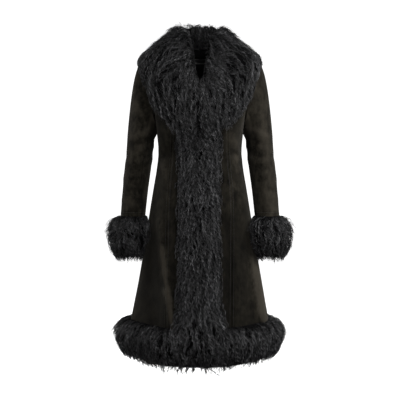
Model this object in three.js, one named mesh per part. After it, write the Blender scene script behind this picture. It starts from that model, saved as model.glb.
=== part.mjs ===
// A fitted suede coat with curly lambskin trims, hollow and filled out as if it were worn.
// Millimetres, +Z up. The front faces -Y and the wearer's left is +X. The origin is the centre
// of the neck at the height of the two neck points, where the shoulders carry the coat.
import * as THREE from "three";

// Walls and gaps
const SUEDE = 1.6;
const LINING = 1.0;
const SEAM_GAP = 0.3;
const SEAT_GAP = 0.35; // under a trim that lies on the suede

// A table as a list of rows with named columns.
function table(columns, rows) {
  const names = columns.split(" ");
  return rows.map((row) => Object.fromEntries(names.map((name, i) => [name, row[i]])));
}

// Rings of the body from the hem up. Each dips at the front and back by its own amounts, so the
// top one is the V neckline, and dip is how sharply it does so at the front. half is half the
// width, front and back are depths, square is the exponent of the superellipse, and princess is
// how far the front seam lies from the middle.
const BODY = table("sideZ frontZ backZ half front back square dip princess", [
  [-998, -1014, -1000, 246, 205, 186, 2.1, 2, 100], // ends of the hem fur
  [-940, -950, -938, 236, 196, 177, 2.1, 2, 100], // lower edge of the suede
  [-881, -889, -879, 225, 187, 168, 2.1, 2, 100], // top of the hem fur
  [-760, -767, -758, 201, 172, 155, 2.15, 2, 102],
  [-640, -646, -638, 182, 157, 143, 2.2, 2, 103],
  [-535, -540, -533, 166, 145, 132, 2.25, 2, 103],
  [-455, -460, -453, 153, 134, 121, 2.3, 2, 99],
  [-396, -401, -394, 143, 124, 109, 2.3, 2, 94],
  [-340, -346, -338, 137, 117, 99, 2.3, 2, 90], // waist
  [-292, -301, -290, 140, 127, 99, 2.35, 2, 88],
  [-250, -262, -245, 146, 140, 105, 2.35, 2, 87], // underarm
  [-190, -226, -180, 164, 139, 110, 2.25, 2.3, 87],
  [-115, -193, -112, 181, 136, 108, 2.1, 2.8, 87],
  [-48, -166, -62, 192, 132, 96, 2.0, 3.4, 87], // shoulder tips
  [-20, -145, -38, 140, 129, 84, 2.0, 4.2, 87],
  [0, -125, -24, 84, 126, 73, 2.0, 5, 87], // neckline
]);
const UNDERARM = 10;
const SHOULDER = 13;
const NECKLINE = 15;

// Folds of the flared skirt: where round the body, how wide, and how far they stand out at the
// hem. A negative depth is a trough. They die out at the hips.
const FOLDS = table("turn width depth", [
  [-25, 7, 9],
  [-52, 14, -7],
  [-76, 10, 5],
  [47, 13, -4],
  [66, 10, 6],
  [112, 12, -6],
  [-112, 12, -6],
  [140, 12, 8],
  [-140, 12, 8],
  [162, 8, -5],
  [-162, 8, -5],
  [180, 10, 6],
]);
const FOLD_TOP = 6;
const FOLD_FULL = 2;

// The armhole is an oval cut in the body between the underarm and the shoulder tip.
const ARMHOLE_FRONT = 28; // degrees forward of the side
const ARMHOLE_BACK = 24;
const ARM_STEP = 15; // degrees between columns of the sleeve

const PRINCESS_NECK_TURN = 40; // where the princess seams end at the neck
const SIDE_COLUMNS = 6;
const BACK_COLUMNS = 9;

// Sleeve rings from the upper arm to the end of the suede, for the wearer's left arm.
const SLEEVE = table("z x y across deep", [
  [-277, 193, -6, 45, 60],
  [-337, 198, -7, 44, 56],
  [-396, 205, -9, 43.5, 52],
  [-455, 211.5, -13, 42, 49],
  [-515, 217, -19, 41, 46],
  [-560, 221, -24, 40.5, 45],
  [-610, 225, -29, 40.5, 45],
  [-657, 229, -34, 40.5, 45], // end of the suede
  [-684, 231, -37, 40.5, 45],
]);
const HEAD_ROWS = [0, 0.12, 0.26, 0.42, 0.6, 0.8]; // share of the way from armhole to upper arm
const HEAD_DROP = 0.15; // how steeply the sleeve head leaves the shoulder
const HEAD_FULLNESS = 0.8; // below 1 it swells out before it falls
const UNDERARM_EASE = 5;
const FRONT_SLEEVE_SEAM = 120; // degrees round the arm from its outer side, through the front
const BACK_SLEEVE_SEAM = 225;

// The fur collar, from the centre of the front round to the centre of the back. edge is the body
// ring that its outer edge reaches, thick the height of the fur, rim its height at the edge, over
// how far the fur hangs past the edge, roll how far it rises above the neckline, and bulge how far
// it stands into the neck.
const COLLAR = table("turn edge thick rim over roll bulge", [
  [0, 10.02, 38, 33, 0, 0, 8],
  [14, 10.02, 40, 33, 0, 1, 16],
  [27, 10.02, 42, 26, 2, 4, 28],
  [38, 10.4, 43, 17, 4, 8, 36],
  [50, 11, 44, 17, 5, 14, 40],
  [58, 11.35, 44, 18, 6, 20, 42],
  [62, 11.8, 44, 19, 6, 23, 41],
  [66, 12.45, 44, 19, 6, 26, 39],
  [72, 12.74, 44, 17, 5, 29, 36],
  [80, 12.98, 44, 15, 4, 32, 32],
  [90, 13.08, 44, 13, 3, 35, 28],
  [100, 12.93, 45, 14, 3, 38, 26],
  [107, 12.66, 46, 16, 4, 42, 25],
  [112, 12.3, 46, 16, 4, 45, 25],
  [118, 11.95, 47, 16, 5, 49, 25],
  [128, 11.85, 47, 14, 5, 55, 24],
  [150, 11.7, 47, 13, 5, 64, 22],
  [180, 11.6, 47, 13, 5, 68, 20],
]);
const COLLAR_STATIONS = 22;
const COLLAR_COLUMNS = 8;
const COLLAR_LIFT = 2.6; // how far its underside stands off the body, apart from its neck seam
const COLLAR_SEAT = 0.8;
const SHOULDER_LIFT = 7; // more room under it, over the turn of the shoulder

// The fur strip along each front edge
const BAND_WIDTH = 75;
const BAND_THICK = 34;
const BAND_RIM = 10;
const BAND_SPANS = 3; // columns of the front panel that it covers

// Hem fur in section: ring of the body, and how far its outer and inner faces stand off it.
const HEM_FUR = table("level outer inner", [
  [1.99, 6, 0.7],
  [1.93, 24, 0.7],
  [1.8, 37, 0.7],
  [1.5, 43, 0.7],
  [1.15, 46, 0.7],
  [0.97, 44, 0.7],
  [0.8, 40, -3],
  [0.5, 30, -6],
  [0.2, 16, -8],
  [0.02, 5, -5],
]);

// Cuff fur in section: height, and how far its outer and inner faces stand off the sleeve.
const CUFF_FUR = table("z outer inner", [
  [-546, 5, 0.35],
  [-551, 20, 0.35],
  [-560, 31, 0.35],
  [-578, 38, 0.35],
  [-600, 41, 0.35],
  [-628, 37, 0.35],
  [-648, 29, 0.35],
  [-659, 22, 0.35],
  [-670, 14, -5],
  [-680, 5, -4],
]);
const CUFF_SPACE = 3; // least gap between a cuff and the skirt

// Lining of the upper back, and the hanger tape at the neck seam
const LINING_SPANS = 7; // columns of each back panel that it covers
const LOOP_HALF = 55;
const LOOP_COLUMNS = 12;
const LOOP_WIDTH = 6;
const LOOP_THICK = 1.2;
const LOOP_SAG = 6;
const LOOP_SEAT = 0.6;
const LOOP_LEVEL = 14.6;

const COLOURS = { suede: 0x1c1b17, fur: 0x1e1e1f, lining: 0x0d0d0e, tape: 0x3a3a3a };

const radians = THREE.MathUtils.degToRad;
const mix = THREE.MathUtils.lerp;
const ease = THREE.MathUtils.smoothstep;

// The value of each column between the rows of a table, on a smooth curve through them.
function between(rows, level) {
  const last = rows.length - 1;
  const at = THREE.MathUtils.clamp(level, 0, last);
  const low = Math.min(Math.floor(at), last - 1);
  const t = at - low;
  const near = [low - 1, low, low + 1, low + 2].map((i) => rows[THREE.MathUtils.clamp(i, 0, last)]);
  const value = {};
  for (const name of Object.keys(rows[0])) {
    const [a, b, c, d] = near.map((row) => row[name]);
    const slopeIn = low === 0 ? c - b : (c - a) / 2;
    const slopeOut = low === last - 1 ? c - b : (d - b) / 2;
    const rise = 3 * (c - b) - 2 * slopeIn - slopeOut;
    const twist = slopeIn + slopeOut - 2 * (c - b);
    value[name] = b + t * (slopeIn + t * (rise + t * twist));
  }
  return value;
}

// The level in a table at which one of its columns, which only rises or only falls, has a value.
function levelOf(rows, name, wanted) {
  const last = rows.length - 1;
  const falls = rows[last][name] < rows[0][name];
  let low = 0;
  while (low < last - 1 && (rows[low + 1][name] > wanted) === falls) low += 1;
  return low + (wanted - rows[low][name]) / (rows[low + 1][name] - rows[low][name]);
}

function foldAt(level, turn) {
  const strength = 1 - ease(level, FOLD_FULL, FOLD_TOP);
  if (strength === 0) return 0;
  const depths = FOLDS.map((fold) => {
    const away = Math.abs(((turn - fold.turn + 540) % 360) - 180) / fold.width;
    return fold.depth * Math.exp(-away * away);
  });
  return strength * depths.reduce((sum, depth) => sum + depth, 0);
}

// A point of the body's outer face: level is a ring of BODY, and turn is in degrees from the
// centre of the front, positive to the wearer's left.
function skinPoint(level, turn) {
  const ring = between(BODY, level);
  const sine = Math.sin(radians(turn));
  const cosine = Math.cos(radians(turn));
  const power = 2 / ring.square;
  const isFront = cosine > 0;
  const depth = isFront ? -ring.front : ring.back;
  const point = new THREE.Vector3(
    ring.half * Math.sign(sine) * Math.abs(sine) ** power,
    depth * Math.abs(cosine) ** power,
    mix(ring.sideZ, isFront ? ring.frontZ : ring.backZ, Math.abs(cosine) ** (isFront ? ring.dip : 2)),
  );
  const outwards = new THREE.Vector3(point.x, point.y, 0).normalize();
  return point.addScaledVector(outwards, foldAt(level, turn));
}

function skinNormal(level, turn) {
  const step = 0.02;
  const low = Math.max(level - step, 0);
  const high = Math.min(level + step, NECKLINE);
  const up = skinPoint(high, turn).sub(skinPoint(low, turn));
  const round = skinPoint(level, turn + 0.5).sub(skinPoint(level, turn - 0.5));
  return round.cross(up).normalize();
}

// A point that stands off the body by a distance along its normal.
function offBody(level, turn, distance) {
  return skinPoint(level, turn).addScaledVector(skinNormal(level, turn), distance);
}

// The turn at which the body has a given distance from its middle plane, on the front half.
function turnAtX(level, x) {
  const ring = between(BODY, level);
  return THREE.MathUtils.radToDeg(Math.asin((x / ring.half) ** (ring.square / 2)));
}

function armholePoint(around) {
  const half = (SHOULDER - UNDERARM) / 2;
  const sine = Math.sin(radians(around));
  const reach = sine > 0 ? ARMHOLE_FRONT : ARMHOLE_BACK;
  return { level: UNDERARM + half + half * Math.cos(radians(around)), turn: 90 - reach * sine };
}

// The turn of the armhole's edge at a level, or of the side and shoulder seams where it has none.
function armholeTurn(level, reach) {
  const half = (SHOULDER - UNDERARM) / 2;
  const share = (level - UNDERARM - half) / half;
  return 90 + reach * Math.sqrt(Math.max(0, 1 - share * share));
}

function princessTurn(level) {
  if (level <= UNDERARM) return turnAtX(level, between(BODY, level).princess);
  const share = (level - UNDERARM) / (NECKLINE - UNDERARM);
  return mix(turnAtX(UNDERARM, BODY[UNDERARM].princess), PRINCESS_NECK_TURN, share);
}

function evenly(from, to, spans) {
  return Array.from({ length: spans + 1 }, (_, i) => mix(from, to, i / spans));
}

// Turns of the columns of the three panels of one half, at a level. The trims that lie on them
// use the same columns. The front's are at even distances as far as the edge of the fur strip.
const COLUMNS = {
  front(level) {
    const low = Math.min(level, UNDERARM);
    const strip = evenly(0, BAND_WIDTH, BAND_SPANS).map((x) => turnAtX(low, x));
    const scale = princessTurn(level) / princessTurn(low);
    return [...strip, princessTurn(low)].map((turn) => turn * scale);
  },
  side: (level) => evenly(princessTurn(level), armholeTurn(level, -ARMHOLE_FRONT), SIDE_COLUMNS),
  back: (level) => evenly(armholeTurn(level, ARMHOLE_BACK), 180, BACK_COLUMNS),
};

// A closed wall between two grids of points of the same size. Where it wraps, its last column
// joins its first. The faces are turned to point out.
function wall(outer, inner, wraps = false) {
  const rows = outer.length;
  const columns = outer[0].length;
  const points = [...outer.flat(), ...inner.flat()];
  const faces = [];
  const index = (layer, row, column) => (layer * rows + row) * columns + (column % columns);
  const quad = (a, b, c, d) => faces.push(a, b, c, a, c, d);
  const length = (a, b) => points[a].distanceTo(points[b]);
  const spans = wraps ? columns : columns - 1;
  for (let row = 0; row < rows - 1; row += 1) {
    for (let column = 0; column < spans; column += 1) {
      const corners = [[row, column], [row, column + 1], [row + 1, column + 1], [row + 1, column]];
      const [a, b, c, d] = corners.map(([r, c]) => index(0, r, c));
      const [e, f, g, h] = corners.map(([r, c]) => index(1, r, c));
      if (length(a, c) <= length(b, d)) {
        quad(a, b, c, d);
        quad(g, f, e, h);
      } else {
        quad(b, c, d, a);
        quad(h, g, f, e);
      }
    }
  }
  for (let column = 0; column < spans; column += 1) {
    const next = column + 1;
    const top = rows - 1;
    quad(index(1, 0, column), index(1, 0, next), index(0, 0, next), index(0, 0, column));
    quad(index(0, top, column), index(0, top, next), index(1, top, next), index(1, top, column));
  }
  for (let row = 0; row < rows - 1 && !wraps; row += 1) {
    const end = columns - 1;
    quad(index(0, row, 0), index(0, row + 1, 0), index(1, row + 1, 0), index(1, row, 0));
    quad(index(1, row, end), index(1, row + 1, end), index(0, row + 1, end), index(0, row, end));
  }
  return facingOut(points, faces);
}

// An indexed geometry whose faces point out, whichever way round they were given.
function facingOut(points, faces) {
  let volume = 0;
  for (let i = 0; i < faces.length; i += 3) {
    const [a, b, c] = [points[faces[i]], points[faces[i + 1]], points[faces[i + 2]]];
    volume += a.dot(new THREE.Vector3().crossVectors(b, c));
  }
  if (volume < 0) faces.reverse();
  const geometry = new THREE.BufferGeometry().setFromPoints(points);
  geometry.setIndex(faces);
  geometry.computeVertexNormals();
  return geometry;
}

function mirrored(grid) {
  return grid.map((row) => row.map((point) => new THREE.Vector3(-point.x, point.y, point.z)));
}

// Turns with both ends drawn in by half a seam gap.
function seamed(level, turns) {
  const last = turns.length - 1;
  return turns.map((turn, i) => {
    if (i === 0) return turn + gapTurn(level, turn);
    return i === last ? turn - gapTurn(level, turn) : turn;
  });
}

// Half a seam gap as a turn, at a place on the body.
function gapTurn(level, turn) {
  const perDegree = skinPoint(level, turn + 0.5).distanceTo(skinPoint(level, turn - 0.5));
  return SEAM_GAP / 2 / perDegree;
}

// Levels of the rows that every panel of the body shares, from its lower edge to the neckline.
// Between the underarm and the shoulder they lie at the sleeve's own columns.
function panelLevels() {
  const skirt = [1, 1.5, 2, 2.5, 3, 3.5, 4, 4.5, 5, 5.5, 6, 6.5, 7, 7.5, 8, 8.5, 9, 9.5];
  const armhole = [];
  for (let around = 180; around >= 0; around -= ARM_STEP) {
    armhole.push(armholePoint(around).level);
  }
  return [...skirt, ...armhole, 13.5, 14, 14.5, NECKLINE];
}

// A suede panel over the columns of one name, on the side of the body that sign gives.
function panel(name, sign) {
  const face = (distance) =>
    panelLevels().map((level) =>
      seamed(level, COLUMNS[name](level)).map((turn) => offBody(level, sign * turn, distance)),
    );
  return wall(face(0), face(-SUEDE));
}

// The sleeve's outer face: how far along, in rows, and around the arm in degrees.
function sleevePoint(row, around) {
  const outX = Math.cos(radians(around));
  const outY = -Math.sin(radians(around));
  const onRing = (ring) =>
    new THREE.Vector3(ring.x + ring.across * outX, ring.y + ring.deep * outY, ring.z);
  if (row >= 1) return onRing(between(SLEEVE, row - 1));
  const hole = armholePoint(around);
  const start = skinPoint(hole.level, hole.turn);
  const end = onRing(SLEEVE[0]);
  const drop = HEAD_DROP * row + (1 - HEAD_DROP) * row * row;
  const lift = UNDERARM_EASE * Math.sin(Math.PI * row) * ((1 - outX) / 2) ** 2;
  return new THREE.Vector3(
    mix(start.x, end.x, row ** HEAD_FULLNESS) + lift,
    mix(start.y, end.y, row),
    mix(start.z, end.z, drop),
  );
}

function sleeveNormal(row, around) {
  const step = 0.01;
  const along = sleevePoint(row + step, around).sub(sleevePoint(Math.max(row - step, 0), around));
  const round = sleevePoint(row, around + 1).sub(sleevePoint(row, around - 1));
  return round.cross(along).normalize();
}

function offSleeve(row, around, distance) {
  return sleevePoint(row, around).addScaledVector(sleeveNormal(row, around), distance);
}

function sleevePanel(from, to) {
  const rows = [...HEAD_ROWS, ...SLEEVE.slice(0, -1).map((_, i) => i + 1)];
  const columns = Math.round((to - from) / ARM_STEP);
  const gap = SEAM_GAP / 2;
  const face = (distance) =>
    rows.map((row) => {
      const moved = row === 0 ? SEAM_GAP / 40 : row; // a seam's gap clear of the armhole
      return Array.from({ length: columns + 1 }, (_, i) => {
        const around = from + i * ARM_STEP;
        const point = offSleeve(moved, around, distance);
        if (row === 0) point.x += SEAM_GAP;
        const next = offSleeve(moved, around + 1, distance).sub(offSleeve(moved, around - 1, distance));
        const inwards = i === 0 ? gap : i === columns ? -gap : 0;
        return point.addScaledVector(next.normalize(), inwards);
      });
    });
  return { over: face(0), under: face(-SUEDE) };
}

// Levels that divide the way from the neckline to an edge into equal lengths.
function evenLevels(turn, edge, count) {
  const fine = Array.from({ length: 61 }, (_, i) => mix(NECKLINE, edge, i / 60));
  const lengths = [0];
  for (let i = 1; i < fine.length; i += 1) {
    const step = skinPoint(fine[i], turn).distanceTo(skinPoint(fine[i - 1], turn));
    lengths.push(lengths[i - 1] + step);
  }
  const whole = lengths[lengths.length - 1];
  return Array.from({ length: count + 1 }, (_, i) => {
    const wanted = (whole * i) / count;
    const after = Math.max(1, lengths.findIndex((length) => length >= wanted - 1e-9));
    const share = (wanted - lengths[after - 1]) / (lengths[after] - lengths[after - 1]);
    return mix(fine[after - 1], fine[after], share);
  });
}

// One station of the collar: the points of its fur surface and of its underside, from the inside
// of the neck out to the edge. In front the fur stands forwards, and round the neck it stands up.
function collarStation(turn) {
  const size = between(COLLAR, levelOf(COLLAR, "turn", turn));
  const levels = evenLevels(turn, size.edge, COLLAR_COLUMNS);
  const up = new THREE.Vector3(0, 0, 1);
  const stands = ease(turn, 15, 70);
  const under = levels.map((level, i) => {
    const shoulder = SHOULDER_LIFT * Math.exp(-(((level - SHOULDER) / 0.9) ** 2));
    return offBody(level, turn, i === 0 ? COLLAR_SEAT : COLLAR_LIFT + shoulder * stands);
  });
  const outwards = under[COLLAR_COLUMNS].clone().sub(under[COLLAR_COLUMNS - 1]).normalize();
  const over = levels.map((level, i) => {
    const t = i / COLLAR_COLUMNS;
    const swell = (1 - t ** 2.6) ** 0.62;
    const direction = skinNormal(level, turn).lerp(up, stands * (1 - Math.min(1, 2.2 * t))).normalize();
    const point = skinPoint(level, turn).addScaledVector(direction, mix(size.rim, size.thick, swell));
    point.addScaledVector(outwards, size.over * t ** 4);
    return point.addScaledVector(up, size.roll * (1 - t) ** 2);
  });
  const inwards = skinPoint(NECKLINE, turn).sub(skinPoint(NECKLINE - 0.2, turn)).normalize();
  const room = Math.abs(skinPoint(NECKLINE, turn).x) / Math.max(0.15, Math.abs(inwards.x));
  const bulge = turn > 90 ? size.bulge : Math.min(size.bulge, 0.75 * room + 1);
  const height = over[0].clone().sub(under[0]);
  const inside = (away, share) =>
    under[0].clone().addScaledVector(inwards, away * bulge).addScaledVector(height, share);
  return {
    over: [inside(1, 0.62), inside(0.72, 0.92), ...over],
    under: [inside(0.92, 0.22), inside(0.5, 0.04), ...under],
  };
}

function collarHalf() {
  const last = 180 - 0.12;
  const first = 0.12;
  const turns = Array.from({ length: COLLAR_STATIONS + 1 }, (_, i) => {
    return mix(first, last, i / COLLAR_STATIONS);
  });
  const stations = turns.map(collarStation);
  return { over: stations.map((s) => s.over), under: stations.map((s) => s.under) };
}

// How far fur stands off the body on the front strip, by level and share of its width.
function bandHeight(level, across) {
  const hem = HEM_FUR.slice().reverse();
  const atHem = between(hem, levelOf(hem, "level", Math.min(level, 1.99))).outer;
  const middle = level < 1.15 ? Math.max(atHem, 5) : mix(BAND_THICK, 46, 1 - ease(level, 1.15, 3));
  const rim = level < 2 ? Math.min(middle, mix(BAND_RIM, atHem, 1 - ease(level, 1.85, 2))) : BAND_RIM;
  return mix(rim, middle, (1 - across ** 3) ** 0.6);
}

function frontStrip(sign) {
  const hem = HEM_FUR.slice().reverse();
  const below = hem.map((row) => row.level).filter((level) => level < 1);
  const above = panelLevels().filter((level) => level > 2 && level < UNDERARM);
  const levels = [...below, 1, 1.15, 1.5, 1.8, 1.93, 2, ...above, UNDERARM - 0.02];
  const face = (distance) =>
    levels.map((level) =>
      seamed(level, COLUMNS.front(level).slice(0, BAND_SPANS + 1)).map((turn, i) =>
        offBody(level, sign * turn, distance(level, i / BAND_SPANS)),
      ),
    );
  const inner = (level) => (level < 1 ? between(hem, levelOf(hem, "level", level)).inner : SEAT_GAP);
  return wall(face(bandHeight), face(inner));
}

// Hem fur over columns of the body, which may pass round the centre of the back.
function hemFur(turnsAt, sign) {
  const face = (side) =>
    HEM_FUR.map((row) =>
      seamed(row.level, turnsAt(row.level)).map((turn) => offBody(row.level, sign * turn, row[side])),
    );
  return wall(face("outer"), face("inner"));
}

const hemFront = (level) => [...COLUMNS.front(level).slice(BAND_SPANS), ...COLUMNS.side(level).slice(1)];

// Columns of both back panels from one side to the other, as turns past the centre of the back.
function acrossBack(level, spans) {
  const half = COLUMNS.back(level).slice(BACK_COLUMNS - spans);
  return [...half, ...half.slice(0, -1).reverse().map((turn) => 360 - turn)];
}

// Moves a point of the cuff out to clear the skirt beside it.
function clearOfSkirt(point) {
  const level = levelOf(BODY, "sideZ", point.z);
  const ring = between(BODY, level);
  const depth = point.y < 0 ? ring.front : ring.back;
  const share = Math.min(1, Math.abs(point.y) / depth);
  const skirt = ring.half * (1 - share ** ring.square) ** (1 / ring.square);
  const turn = THREE.MathUtils.radToDeg(Math.atan2(point.x, -point.y));
  const least = skirt + CUFF_SPACE + Math.max(foldAt(level, turn), foldAt(level, -turn), 0);
  if (point.x < least) point.x = least;
  return point;
}

function cuffFur() {
  const columns = 360 / ARM_STEP;
  const face = (side) =>
    CUFF_FUR.map((row) => {
      const at = 1 + levelOf(SLEEVE, "z", row.z);
      return Array.from({ length: columns }, (_, i) => {
        const point = offSleeve(at, i * ARM_STEP, row[side]);
        return side === "outer" ? clearOfSkirt(point) : point;
      });
    });
  return { over: face("outer"), under: face("inner") };
}

function backLining() {
  const levels = panelLevels().filter((level) => level >= UNDERARM);
  const face = (distance) =>
    levels.map((level) => acrossBack(level, LINING_SPANS).map((turn) => offBody(level, turn, distance)));
  const outside = -(SUEDE + SEAT_GAP);
  return wall(face(outside), face(outside - LINING));
}

// The hanger tape, a flat strip that hangs a little slack between its two ends under the neck.
function hangerTape() {
  const inside = SUEDE + SEAT_GAP + LINING + LOOP_SEAT;
  const half = THREE.MathUtils.radToDeg(Math.asin(LOOP_HALF / BODY[NECKLINE].half));
  const perLevel = skinPoint(NECKLINE, 180).distanceTo(skinPoint(NECKLINE - 1, 180));
  const edge = (distance, height) =>
    evenly(-half, half, LOOP_COLUMNS).map((away) => {
      const slack = LOOP_SAG * (1 - (away / half) ** 2);
      const point = offBody(LOOP_LEVEL + height / perLevel, 180 + away, -(inside + distance + slack / 2));
      point.z -= slack;
      return point;
    });
  const face = (distance) => [edge(distance, -LOOP_WIDTH / 2), edge(distance, LOOP_WIDTH / 2)];
  return wall(face(0), face(LOOP_THICK));
}

const materials = Object.fromEntries(
  Object.entries(COLOURS).map(([name, color]) => [
    name,
    new THREE.MeshStandardMaterial({ name, color, roughness: name === "tape" ? 0.6 : 0.95, metalness: 0 }),
  ]),
);

const coat = new THREE.Group();
coat.name = "coat";

function add(name, geometry, material) {
  const mesh = new THREE.Mesh(geometry, materials[material]);
  mesh.name = name;
  coat.add(mesh);
}

const SIDES = [
  ["left", 1],
  ["right", -1],
];
const furRing = cuffFur();
const collar = collarHalf();
for (const [side, sign] of SIDES) {
  const flip = sign > 0 ? (grid) => grid : mirrored;
  add(`front_${side}`, panel("front", sign), "suede");
  add(`side_front_${side}`, panel("side", sign), "suede");
  add(`back_${side}`, panel("back", sign), "suede");
  const upper = sleevePanel(BACK_SLEEVE_SEAM - 360, FRONT_SLEEVE_SEAM);
  const under = sleevePanel(FRONT_SLEEVE_SEAM, BACK_SLEEVE_SEAM);
  add(`upper_sleeve_${side}`, wall(flip(upper.over), flip(upper.under)), "suede");
  add(`under_sleeve_${side}`, wall(flip(under.over), flip(under.under)), "suede");
  add(`collar_fur_${side}`, wall(flip(collar.over), flip(collar.under)), "fur");
  add(`front_fur_${side}`, frontStrip(sign), "fur");
  add(`hem_fur_${side}`, hemFur(hemFront, sign), "fur");
  add(`cuff_fur_${side}`, wall(flip(furRing.over), flip(furRing.under), true), "fur");
}
add("hem_fur_back", hemFur((level) => acrossBack(level, BACK_COLUMNS), 1), "fur");
add("back_lining", backLining(), "lining");
add("hanger_tape", hangerTape(), "tape");

export default coat;
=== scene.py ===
import math

import bpy
import numpy as np
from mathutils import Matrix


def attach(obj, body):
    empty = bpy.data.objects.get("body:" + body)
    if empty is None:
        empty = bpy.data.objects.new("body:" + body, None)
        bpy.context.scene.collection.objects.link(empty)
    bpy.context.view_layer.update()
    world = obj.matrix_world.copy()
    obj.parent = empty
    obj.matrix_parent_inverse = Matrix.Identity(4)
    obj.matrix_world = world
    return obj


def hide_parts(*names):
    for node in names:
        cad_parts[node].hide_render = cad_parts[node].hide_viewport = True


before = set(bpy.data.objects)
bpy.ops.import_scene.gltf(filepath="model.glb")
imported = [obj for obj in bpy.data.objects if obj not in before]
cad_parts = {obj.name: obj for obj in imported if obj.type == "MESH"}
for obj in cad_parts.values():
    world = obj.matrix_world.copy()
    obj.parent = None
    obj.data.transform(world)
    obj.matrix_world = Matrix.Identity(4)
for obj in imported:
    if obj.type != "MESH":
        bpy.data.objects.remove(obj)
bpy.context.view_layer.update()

MM = 0.001
rng = np.random.default_rng(7)

# Driving sizes, the same as the solids'
SUEDE = 1.6
LINING = 1.0
SEAT_GAP = 0.35
SEAM_GAP = 0.3
BAND_WIDTH = 75
BAND_THICK = 34
BAND_RIM = 10
UNDERARM, SHOULDER, NECKLINE = 10, 13, 15
ARMHOLE_HALF = (SHOULDER - UNDERARM) / 2
ARMHOLE_MIDDLE = UNDERARM + ARMHOLE_HALF
ARMHOLE_FRONT, ARMHOLE_BACK, ARM_STEP = 28, 24, 15
FRONT_SLEEVE_SEAM, BACK_SLEEVE_SEAM = 120, 225
PRINCESS_NECK_TURN = 40
CUFF_SPACE = 3


def table(columns, rows):
    """Rows with named columns, as one array for each name."""
    return {name: np.array([row[i] for row in rows], float) for i, name in enumerate(columns.split())}


BODY = table("sideZ frontZ backZ half front back square dip princess", [
    (-998, -1014, -1000, 246, 205, 186, 2.1, 2, 100),  # ends of the hem fur
    (-940, -950, -938, 236, 196, 177, 2.1, 2, 100),  # lower edge of the suede
    (-881, -889, -879, 225, 187, 168, 2.1, 2, 100),  # top of the hem fur
    (-760, -767, -758, 201, 172, 155, 2.15, 2, 102),
    (-640, -646, -638, 182, 157, 143, 2.2, 2, 103),
    (-535, -540, -533, 166, 145, 132, 2.25, 2, 103),
    (-455, -460, -453, 153, 134, 121, 2.3, 2, 99),
    (-396, -401, -394, 143, 124, 109, 2.3, 2, 94),
    (-340, -346, -338, 137, 117, 99, 2.3, 2, 90),  # waist
    (-292, -301, -290, 140, 127, 99, 2.35, 2, 88),
    (-250, -262, -245, 146, 140, 105, 2.35, 2, 87),  # underarm
    (-190, -226, -180, 164, 139, 110, 2.25, 2.3, 87),
    (-115, -193, -112, 181, 136, 108, 2.1, 2.8, 87),
    (-48, -166, -62, 192, 132, 96, 2.0, 3.4, 87),  # shoulder tips
    (-20, -145, -38, 140, 129, 84, 2.0, 4.2, 87),
    (0, -125, -24, 84, 126, 73, 2.0, 5, 87),  # neckline
])
FOLDS = table("turn width depth", [
    (-25, 7, 9), (-52, 14, -7), (-76, 10, 5), (47, 13, -4), (66, 10, 6), (112, 12, -6),
    (-112, 12, -6), (140, 12, 8), (-140, 12, 8), (162, 8, -5), (-162, 8, -5), (180, 10, 6),
])
FOLD_TOP, FOLD_FULL = 6, 2
SLEEVE = table("z x y across deep", [
    (-277, 193, -6, 45, 60),
    (-337, 198, -7, 44, 56),
    (-396, 205, -9, 43.5, 52),
    (-455, 211.5, -13, 42, 49),
    (-515, 217, -19, 41, 46),
    (-560, 221, -24, 40.5, 45),
    (-610, 225, -29, 40.5, 45),
    (-657, 229, -34, 40.5, 45),  # end of the suede
    (-684, 231, -37, 40.5, 45),
])
HEAD_DROP, HEAD_FULLNESS, UNDERARM_EASE = 0.15, 0.8, 5
COLLAR = table("turn edge thick rim over roll bulge", [
    (0, 10.02, 38, 33, 0, 0, 8),
    (14, 10.02, 40, 33, 0, 1, 16),
    (27, 10.02, 42, 26, 2, 4, 28),
    (38, 10.4, 43, 17, 4, 8, 36),
    (50, 11, 44, 17, 5, 14, 40),
    (58, 11.35, 44, 18, 6, 20, 42),
    (62, 11.8, 44, 19, 6, 23, 41),
    (66, 12.45, 44, 19, 6, 26, 39),
    (72, 12.74, 44, 17, 5, 29, 36),
    (80, 12.98, 44, 15, 4, 32, 32),
    (90, 13.08, 44, 13, 3, 35, 28),
    (100, 12.93, 45, 14, 3, 38, 26),
    (107, 12.66, 46, 16, 4, 42, 25),
    (112, 12.3, 46, 16, 4, 45, 25),
    (118, 11.95, 47, 16, 5, 49, 25),
    (128, 11.85, 47, 14, 5, 55, 24),
    (150, 11.7, 47, 13, 5, 64, 22),
    (180, 11.6, 47, 13, 5, 68, 20),
])
COLLAR_LIFT, COLLAR_SEAT, SHOULDER_LIFT = 2.6, 0.8, 7
HEM_FUR = table("level outer inner", [
    (0.02, 5, -5), (0.2, 16, -8), (0.5, 30, -6), (0.8, 40, -3), (0.97, 44, 0.7),
    (1.15, 46, 0.7), (1.5, 43, 0.7), (1.8, 37, 0.7), (1.93, 24, 0.7), (1.99, 6, 0.7),
])
CUFF_FUR = table("z outer inner", [
    (-546, 5, 0.35), (-551, 20, 0.35), (-560, 31, 0.35), (-578, 38, 0.35), (-600, 41, 0.35),
    (-628, 37, 0.35), (-648, 29, 0.35), (-659, 22, 0.35), (-670, 14, -5), (-680, 5, -4),
])

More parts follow.
